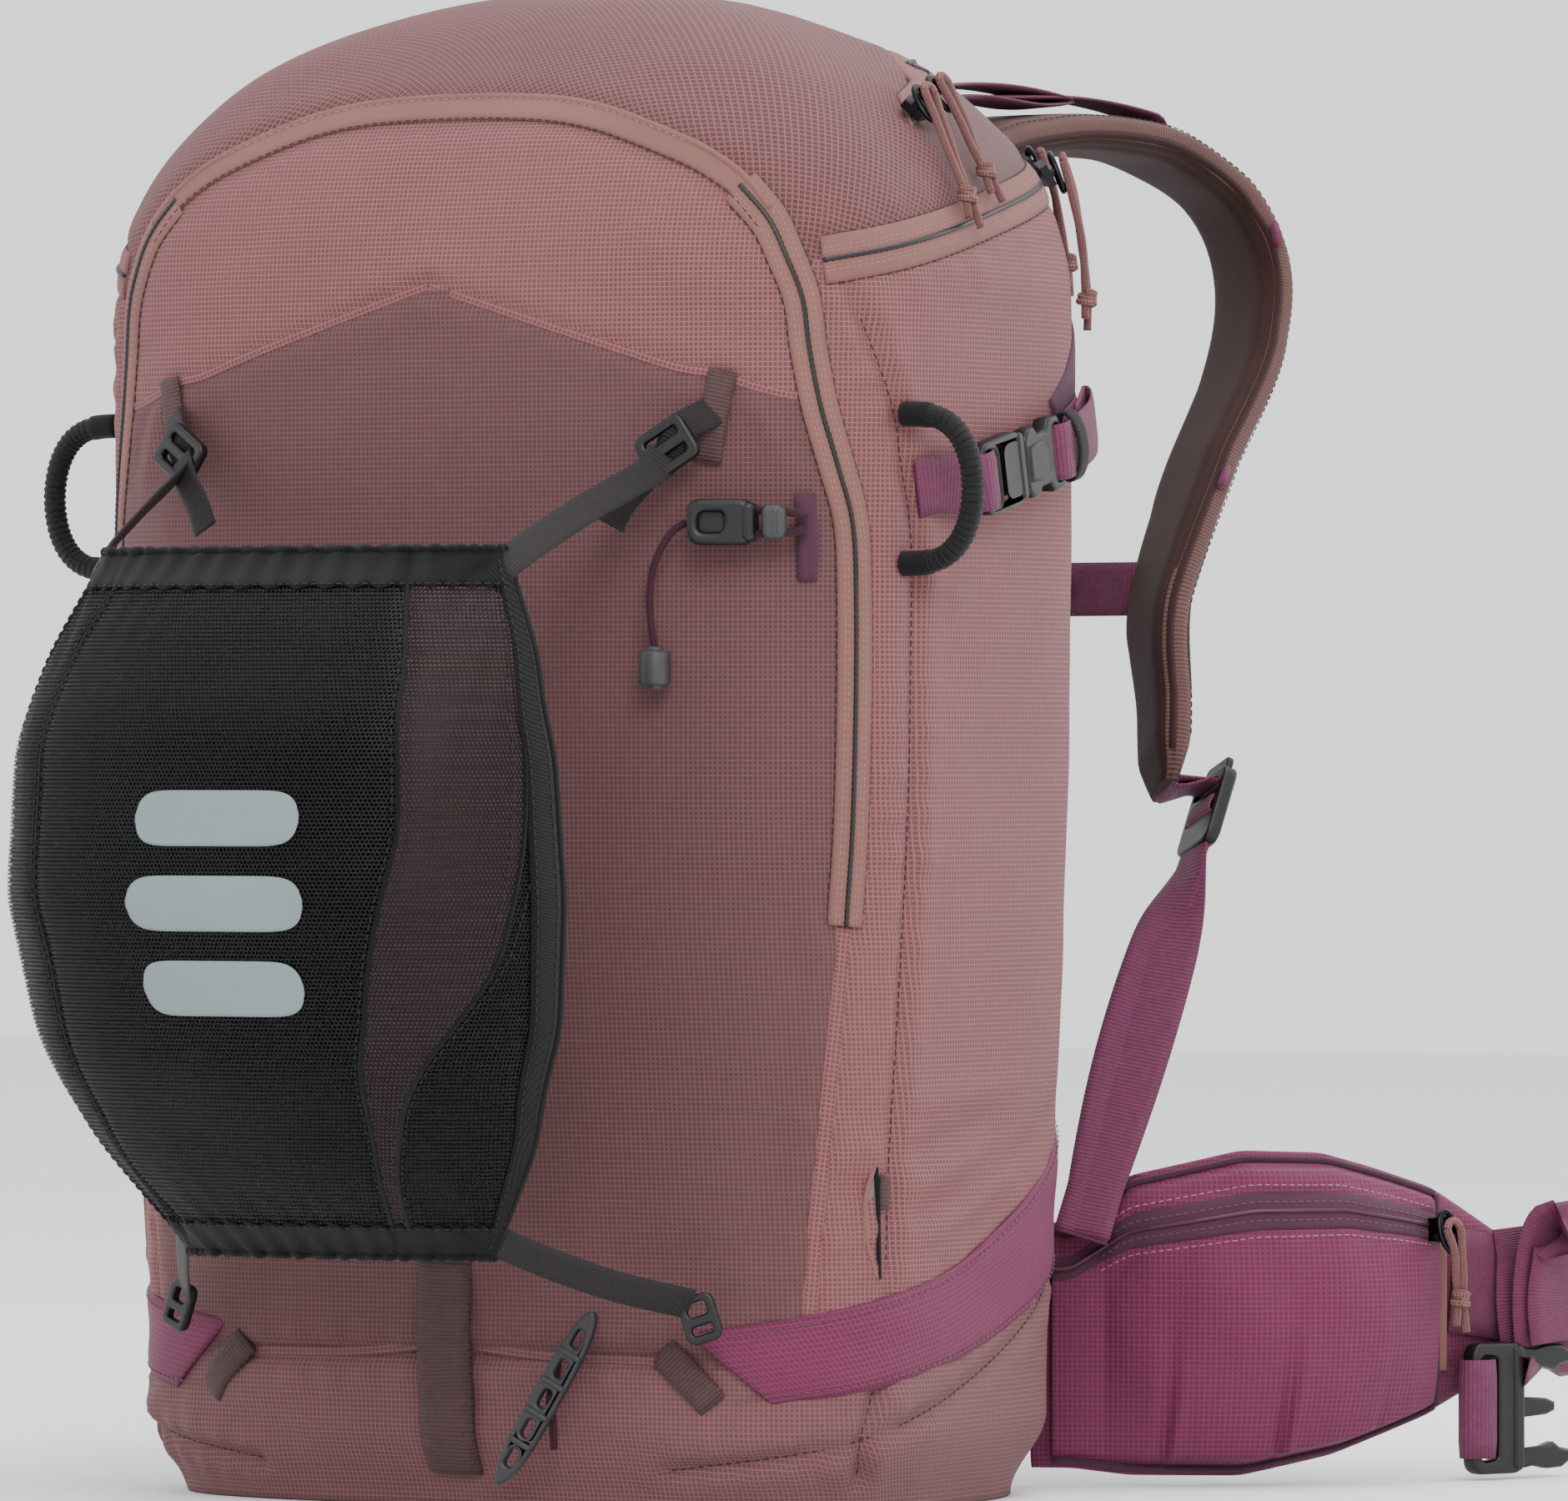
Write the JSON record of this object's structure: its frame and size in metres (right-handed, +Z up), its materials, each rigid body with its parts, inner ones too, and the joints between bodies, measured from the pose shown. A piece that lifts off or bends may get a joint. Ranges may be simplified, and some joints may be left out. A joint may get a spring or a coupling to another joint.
{
  "type": "ski backpack",
  "caption": "Rounded touring backpack with padded straps, hip fins with zip pouches, ski loops, side compression straps and a bulged mesh helmet carrier.",
  "frame": {"origin": "centre of the flat base on the floor", "axes": "+Z up, -Y the front away from the wearer, +Y the wearer's side, +X the pack's side with the tool bungee"},
  "size_m": [0.5176, 0.6196, 0.536],
  "materials": {
    "ripstop": "rose ripstop nylon with a fine pale grid",
    "ripstop_dark": "darker rose ripstop nylon",
    "plum_fabric": "plum ripstop nylon",
    "plum_webbing": "plum ribbed webbing",
    "foam_mesh": "brown knit mesh over foam",
    "black_webbing": "black webbing",
    "net": "black open knit mesh",
    "black_plastic": "satin moulded acetal",
    "grey_plastic": "matte grey moulding",
    "cord": "braided rose cord",
    "elastic": "braided plum elastic",
    "zip_metal": "black lacquered zinc",
    "sheet": "polyethylene sheet",
    "stay": "mill finish"
  },
  "bodies": {
    "pack": {"main_bag": "ripstop", "lid": "ripstop", "front_pocket": "ripstop", "base": "ripstop_dark", "frame_sheet": "sheet", "frame_stay": "stay", "back_panel": "foam_mesh", "lumbar_pad": "foam_mesh", "lower_webbing_right": "plum_webbing", "lower_webbing_left": "plum_webbing", "compression_front_right": "plum_webbing", "compression_front_left": "plum_webbing", "compression_rear_right": "plum_webbing", "compression_rear_left": "plum_webbing", "side_buckle_female_right": "black_plastic", "side_buckle_female_left": "black_plastic", "lower_wing_right": "plum_fabric", "lower_wing_left": "plum_fabric", "helmet_net": "net", "carrier_strap_upper_right": "black_webbing", "carrier_strap_upper_left": "black_webbing", "tri_glide_right": "black_plastic", "tri_glide_left": "black_plastic", "cord_lock": "black_plastic", "bungee_tail": "elastic", "bungee_end": "grey_plastic"},
    "harness": {"shoulder_strap_right": "foam_mesh", "shoulder_strap_left": "foam_mesh", "ladder_lock_right": "black_plastic", "ladder_lock_left": "black_plastic", "load_lifter_right": "plum_webbing", "load_lifter_left": "plum_webbing", "sternum_strap": "plum_webbing", "sternum_buckle": "black_plastic"},
    "hip_fin_right": {"hip_fin_right": "plum_fabric", "hip_pouch_right": "plum_fabric", "belt_webbing_right": "plum_webbing"},
    "hip_zip_right": {"hip_slider_right": "zip_metal", "hip_pull_right": "cord"},
    "belt_buckle_right": {"belt_buckle_male": "black_plastic"},
    "ski_loop_right": {"ski_loop_right": "black_plastic"},
    "side_buckle_right": {"side_buckle_male_right": "black_plastic"},
    "hip_fin_left": {"hip_fin_left": "plum_fabric", "hip_pouch_left": "plum_fabric", "belt_webbing_left": "plum_webbing"},
    "hip_zip_left": {"hip_slider_left": "zip_metal", "hip_pull_left": "cord"},
    "belt_buckle_left": {"belt_buckle_female": "black_plastic"},
    "ski_loop_left": {"ski_loop_left": "black_plastic"},
    "side_buckle_left": {"side_buckle_male_left": "black_plastic"},
    "lid_zip_1": {"lid_slider_1": "zip_metal", "lid_pull_1": "cord"},
    "lid_zip_2": {"lid_slider_2": "zip_metal", "lid_pull_2": "cord"},
    "main_zip_1": {"main_slider_1": "zip_metal", "main_pull_1": "cord"},
    "main_zip_2": {"main_slider_2": "zip_metal", "main_pull_2": "cord"},
    "cord_lock_button": {"cord_lock_button": "grey_plastic"},
    "axe_toggle": {"axe_toggle": "grey_plastic"}
  },
  "joints": [
    {"name": "harness_swing", "type": "hinge", "parent": "pack", "child": "harness", "pos_m": [0, 0.134, 0.46], "axis": [1, 0, 0], "range_deg": [-4, 8], "deforming": ["lower_webbing_right", "lower_webbing_left"]},
    {"name": "hip_fin_hinge_right", "type": "hinge", "parent": "pack", "child": "hip_fin_right", "pos_m": [0.126, 0.131, 0.06], "axis": [0, 0, 1], "range_deg": [-4, 26]},
    {"name": "hip_zip_slide_right", "type": "slide", "parent": "hip_fin_right", "child": "hip_zip_right", "axis": [-0.1865, -0.9667, 0.1751], "range_m": [0, 0.016]},
    {"name": "belt_buckle_turn_right", "type": "hinge", "parent": "hip_fin_right", "child": "belt_buckle_right", "pos_m": [0.2417, 0.2417, 0.026], "axis": [0, 0, -1], "range_deg": [-2, 22]},
    {"name": "ski_loop_swing_right", "type": "hinge", "parent": "pack", "child": "ski_loop_right", "pos_m": [0.1758, -0.0525, 0.357], "axis": [0, 0, 1], "range_deg": [-35, 40]},
    {"name": "side_buckle_release_right", "type": "slide", "parent": "pack", "child": "side_buckle_right", "axis": [0, 0.9743, 0.2251], "range_m": [0, 0.007]},
    {"name": "hip_fin_hinge_left", "type": "hinge", "parent": "pack", "child": "hip_fin_left", "pos_m": [-0.126, 0.131, 0.06], "axis": [0, 0, -1], "range_deg": [-4, 26]},
    {"name": "hip_zip_slide_left", "type": "slide", "parent": "hip_fin_left", "child": "hip_zip_left", "axis": [0.1865, -0.9667, 0.1751], "range_m": [0, 0.016]},
    {"name": "belt_buckle_turn_left", "type": "hinge", "parent": "hip_fin_left", "child": "belt_buckle_left", "pos_m": [-0.2417, 0.2417, 0.026], "axis": [0, 0, 1], "range_deg": [-2, 22]},
    {"name": "ski_loop_swing_left", "type": "hinge", "parent": "pack", "child": "ski_loop_left", "pos_m": [-0.1758, -0.0525, 0.357], "axis": [0, 0, -1], "range_deg": [-35, 40]},
    {"name": "side_buckle_release_left", "type": "slide", "parent": "pack", "child": "side_buckle_left", "axis": [0, 0.9743, 0.2251], "range_m": [0, 0.007]},
    {"name": "lid_zip_1_slide", "type": "slide", "parent": "pack", "child": "lid_zip_1", "axis": [-0.1825, 0.9621, 0.2026], "range_m": [-0.012, 0]},
    {"name": "lid_zip_2_slide", "type": "slide", "parent": "pack", "child": "lid_zip_2", "axis": [-0.2178, 0.9562, 0.1957], "range_m": [0, 0.03]},
    {"name": "main_zip_1_slide", "type": "slide", "parent": "pack", "child": "main_zip_1", "axis": [-0.6902, 0.6934, 0.207], "range_m": [-0.015, 0]},
    {"name": "main_zip_2_slide", "type": "slide", "parent": "pack", "child": "main_zip_2", "axis": [-0.8821, 0.4286, 0.1957], "range_m": [0, 0.02]},
    {"name": "cord_lock_press", "type": "slide", "parent": "pack", "child": "cord_lock_button", "axis": [-0.9403, -0.3404, 0], "range_m": [0, 0.003], "stiffness_N_per_m": 300},
    {"name": "axe_toggle_turn", "type": "hinge", "parent": "pack", "child": "axe_toggle", "pos_m": [0.048, -0.107, 0.04], "axis": [0.1961, -0.9794, 0.049], "range_deg": [-35, 35]}
  ]
}
